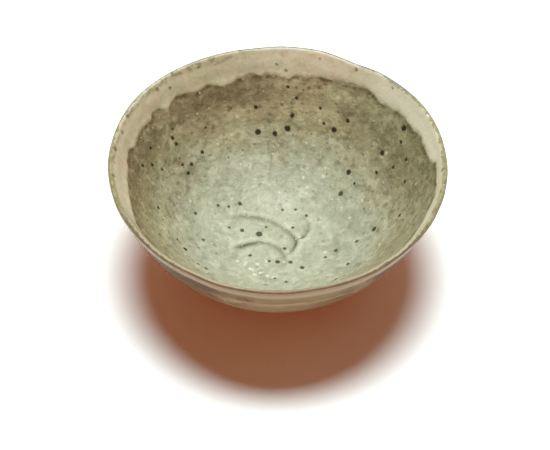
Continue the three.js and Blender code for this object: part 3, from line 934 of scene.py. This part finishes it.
def pale_material():
    n = Nodes("pale_glaze")
    # Smooth inside and nearly matt outside, past the lip
    path = n.attribute("from_lip_mm")
    matt = n.times(n.ramp(path, -2, -5), PALE_SPECULAR - OUTSIDE_SPECULAR)
    n.link(n.minus(PALE_SPECULAR, matt), n.shader.inputs["Specular IOR Level"])
    # Band inside the lip: cream, with a blush, tints and drips, and a brown halo along the green glaze's edge
    east, north = n.compass()
    right = n.ramp(east, 0.3, 0.8)
    back_left = n.minus(n.times(north, 0.6), n.times(east, 0.8))
    blush = n.noise(1, 3, 0.6, 58, n.ringed(14, 6))
    blush_share = n.times_plus(right, -0.28, 0.36)
    drips = n.noise(1, 4, 0.65, 33, n.ringed(12, 2.4))
    above = n.attribute("above_edge_mm")
    halo = n.times(n.ramp(above, 2, 0.3), n.ramp(n.noise(3, 3, 0.6, 81), 0.4, 0.65))
    inner = n.mix(n.ramp(east, -0.75, 0.35), (242, 236, 204), (255, 236, 203))
    inner = n.coats(
        n.mix(right, inner, (255, 250, 222)),
        (n.ramp(back_left, 0.62, 0.92), 0.5, (222, 202, 160)),
        (n.ramp(blush, 0.52, 0.66), blush_share, (250, 206, 172)),
        (n.ramp(blush, 0.48, 0.34), blush_share, (222, 216, 164)),
        (n.ramp(n.noise(8, 3, 0.55, 2), 0.35, 0.65), n.times_plus(right, -0.2, 0.25), (228, 206, 170)),
        (n.ramp(drips, 0.5, 0.66), n.times_plus(right, -0.25, 0.35), (212, 190, 154)),
        (n.ramp(drips, 0.5, 0.36), 0.4, (246, 240, 218)),
        (halo, 0.5, (160, 140, 102)),
        (n.ramp(above, 0.9, 0), 0.75, n.mix(n.ramp(east, 0.2, 0.8), (186, 168, 128), (196, 190, 154))),
    )
    # Outside: bands down the wall, darker patches and painted shade on the left and right sides
    down = n.times(path, -1)
    shifted = n.plus(down, n.times(n.swing(6, 10, 3, 0.6, 21), n.ramp(down, 5, 10)))
    # Bands down the wall, whose light bands are partly painted highlights on the thrown rolls
    outer = n.colours(shifted, [
        (1, (246, 206, 170)), (3.6, (255, 226, 190)), (5, (246, 212, 174)), (6.4, (214, 181, 138)),
        (11, (212, 179, 136)), (13, (248, 212, 172)), (15.5, (252, 216, 176)), (18, (220, 184, 144)),
        (25, (220, 184, 144)), (30, (214, 176, 134)), (36, (220, 186, 148)), (44, (190, 156, 118)),
        (62, (206, 172, 134)),
    ])
    patch = n.ramp(n.noise(6, 5, 0.65, 61, n.ringed(2.2, 9)), 0.47, 0.68)
    ragged = n.swing(1.1, 14, 4, 0.65, 47)
    ragged_east = n.plus(east, ragged)
    # Painted shade: darker brown on the left and right sides below the lip, fading lower down
    painted_side_shade = n.math("MAXIMUM", n.ramp(ragged_east, -0.08, -0.45), n.ramp(ragged_east, 0.22, 0.7))
    painted_side_shade = n.times(n.times(painted_side_shade, n.ramp(down, 2.6, 5.4)), n.ramp(n.plus(north, ragged), 0.5, -0.4))
    painted_side_shade = n.times(painted_side_shade, n.times_plus(n.ramp(down, 14, 26), -0.6, 1))
    outer = n.coats(
        outer,
        (n.times(patch, n.ramp(down, 4, 7)), 0.6, (148, 116, 76)),
        (painted_side_shade, 0.88, n.mix(n.ramp(east, 0.1, 0.5), (120, 88, 60), (110, 75, 43))),
    )
    # Inner half of the lip: cream in front, mossy at the sides, with a painted highlight line
    sides = n.ramp(n.math("ABSOLUTE", east), 0.4, 0.8)
    over = n.plus(n.attribute("above_line_mm"), n.swing(n.times_plus(sides, 2.2, 0.5), 2.4, 4, 0.6, 21))
    cream = n.mix(n.ramp(north, -0.9, -0.4), (158, 144, 106), (180, 170, 124))
    side_cream = n.mix(n.ramp(east, -0.2, 0.2), (182, 176, 138), (198, 192, 156))
    cream = n.mix(n.ramp(north, -0.35, 0.05), cream, side_cream)
    moss = n.attribute("moss_mm")
    mottle = n.times_plus(n.minus(n.noise(2.2, 4, 0.6, 131), 0.5), 2, over)
    mossy = n.mix(n.ramp(mottle, 0, n.plus(moss, 0.3)), (164, 150, 112), (192, 178, 138))
    patchy = n.times_plus(n.ramp(n.noise(3, 3, 0.6, 151), 0.42, 0.58), 0.65, 0.3)
    painted_highlight_line = n.ramp(n.math("ABSOLUTE", n.minus(over, 0.4)), 0.5, 0.2)
    inner = n.coats(
        inner,
        (n.ramp(path, 1.1, 0.5), n.ramp(north, 0.3, -0.2), cream),
        (n.times(n.ramp(east, 0.1, -0.3), n.ramp(north, -0.3, -0.55)), 0.8, (178, 168, 130)),
        (n.ramp(n.minus(over, moss), 0.6, -1.2), patchy, mossy),
        (n.times(painted_highlight_line, n.attribute("lip_highlight")), 0.8, (236, 234, 216)),
    )
    # Dark line over the lip's crest, brown in front to grey at the back
    fleck = n.ramp(n.noise(2.6, 4, 0.65, 9), 0.4, 0.62)
    olive, grey, tan, brown = (n.mix(fleck, plain, flecked) for plain, flecked in (
        ((172, 168, 122), (138, 132, 88)),
        ((158, 158, 134), (120, 122, 98)),
        ((140, 120, 84), (116, 98, 66)),
        ((136, 102, 66), (108, 80, 48)),
    ))
    rim_colour = n.mix(n.ramp(north, 0.35, 0.7), olive, grey)
    rim_colour = n.mix(n.ramp(north, -0.4, -0.65), rim_colour, n.mix(n.ramp(north, -0.8, -0.95), tan, brown))
    # That line, glints painted as white highlights, ticks and specks over the inside and the outside
    past_low = n.attribute("past_low_mm")
    rim = n.times(n.ramp(over, 0.15, -0.15), n.ramp(past_low, 0.15, -0.1))
    glint = n.times(specks(n, 3, 0.4, 0.2, 0.5, 51), n.ramp(n.math("ABSOLUTE", path), 1.6, 0.9))
    colour = n.coats(
        n.mix(n.ramp(past_low, -0.15, 0.25), inner, outer),
        (rim, 0.9, rim_colour),
        (n.times(glint, n.ramp(north, -0.5, 0.2)), 0.75, (240, 240, 222)),
        (placed_specks(n, "tick_mm", 71), 0.65, (84, 72, 34)),
        (specks(n, 6, 0.2, 0.2, 0.5, 61), 0.5, (110, 92, 58)),
    )
    rough = n.times_plus(n.noise(1.4, 3, 0.6, 4), 0.2, 0.32)
    height = n.plus(n.times(n.noise(1.1, 4, 0.6, 6), 0.1), n.times(n.noise(4, 2, 0.5, 8), 0.25))
    return n.complete(colour, rough, height)


def clay_material():
    n = Nodes("bare_clay")
    colour = n.mix(n.ramp(n.noise(6, 4, 0.6), 0.35, 0.7), (168, 124, 92), (140, 100, 74))
    colour = n.coats(colour, (specks(n, 1.6, 0.3, 0.1, 0.3, 15), 0.7, (92, 66, 48)))
    return n.complete(colour, 0.85, n.times(n.noise(0.7, 4, 0.7), 0.18))


def dress(obj, material, node):
    """Give the fine piece its material and put it in place of the solid of that name."""
    obj.data.materials.append(material)
    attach(obj, "root")
    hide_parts(node)


dress(clay_body(), clay_material(), "clay_body")
dress(green_glaze(), green_material(), "green_inner_glaze")
dress(pale_glaze(), pale_material(), "pale_outer_glaze")


def floor():
    """White floor whose shadow looks warm to the camera only."""
    mesh = bpy.data.meshes.new("floor")
    corners = [(x * FLOOR_HALF, y * FLOOR_HALF, 0) for x, y in ((-1, -1), (1, -1), (1, 1), (-1, 1))]
    mesh.from_pydata(corners, [], [(0, 1, 2, 3)])
    material = bpy.data.materials.new("floor")
    material.use_nodes = True
    material.node_tree.nodes.clear()
    tree = Tree(material.node_tree)
    plain, seen, glow = (tree.new(kind) for kind in ("BsdfDiffuse", "BsdfDiffuse", "Emission"))
    plain.inputs[0].default_value = FLOOR_COLOUR
    seen.inputs[0].default_value = FLOOR_SEEN
    glow.inputs[0].default_value = SHADOW_GLOW
    glow.inputs[1].default_value = SHADOW_GLOW_STRENGTH
    both = tree.new("AddShader")
    tree.link(seen.outputs[0], both.inputs[0])
    tree.link(glow.outputs[0], both.inputs[1])
    mix = tree.new("MixShader")
    for source, socket in zip((tree.looked_at(), plain.outputs[0], both.outputs[0]), mix.inputs):
        tree.link(source, socket)
    tree.link(mix.outputs[0], tree.new("OutputMaterial").inputs[0])
    mesh.materials.append(material)
    add_object("floor", mesh)


def lights():
    for name, width, depth, energy, place in LAMPS:
        lamp = bpy.data.lights.new(name, "AREA")
        lamp.shape = "ELLIPSE"
        lamp.size = width
        lamp.size_y = depth
        lamp.energy = energy
        add_object(name, lamp).location = place
    world = bpy.data.worlds.new("studio")
    world.use_nodes = True
    tree = Tree(world.node_tree)
    seen = tree.new("MixRGB")
    seen.inputs[1].default_value = WORLD_LIGHT
    seen.inputs[2].default_value = WORLD_SEEN
    tree.link(tree.looked_at(), seen.inputs[0])
    tree.link(seen.outputs[0], world.node_tree.nodes["Background"].inputs[0])
    bpy.context.scene.world = world


def camera():
    """The photograph's camera, placed so that the rim's centre falls on its pixel."""
    elevation = math.radians(CAMERA_ELEVATION)
    roll = math.radians(CAMERA_ROLL)
    forward = Vector((0, math.cos(elevation), -math.sin(elevation)))
    right = Vector((1, 0, 0))
    up = right.cross(forward)
    right, up = (right * math.cos(roll) + up * math.sin(roll), up * math.cos(roll) - right * math.sin(roll))
    pixels = CAMERA_LENS / SENSOR_WIDTH * IMAGE_SIZE[0]
    across = (RIM_CENTRE_PIXEL[0] - IMAGE_SIZE[0] / 2) / pixels * CAMERA_DISTANCE
    above = (IMAGE_SIZE[1] / 2 - RIM_CENTRE_PIXEL[1]) / pixels * CAMERA_DISTANCE
    place = Vector((0, 0, BOWL_HEIGHT)) - forward * CAMERA_DISTANCE - right * across - up * above
    data = bpy.data.cameras.new("camera")
    data.lens = CAMERA_LENS
    data.sensor_width = SENSOR_WIDTH
    data.clip_start = CLIP_START
    obj = add_object("camera", data)
    basis = Matrix((right, up, -forward)).transposed().to_4x4()
    obj.matrix_world = Matrix.Translation(place * MM) @ basis
    bpy.context.scene.camera = obj


floor()
lights()
camera()
bpy.context.scene.view_settings.view_transform = "Standard"
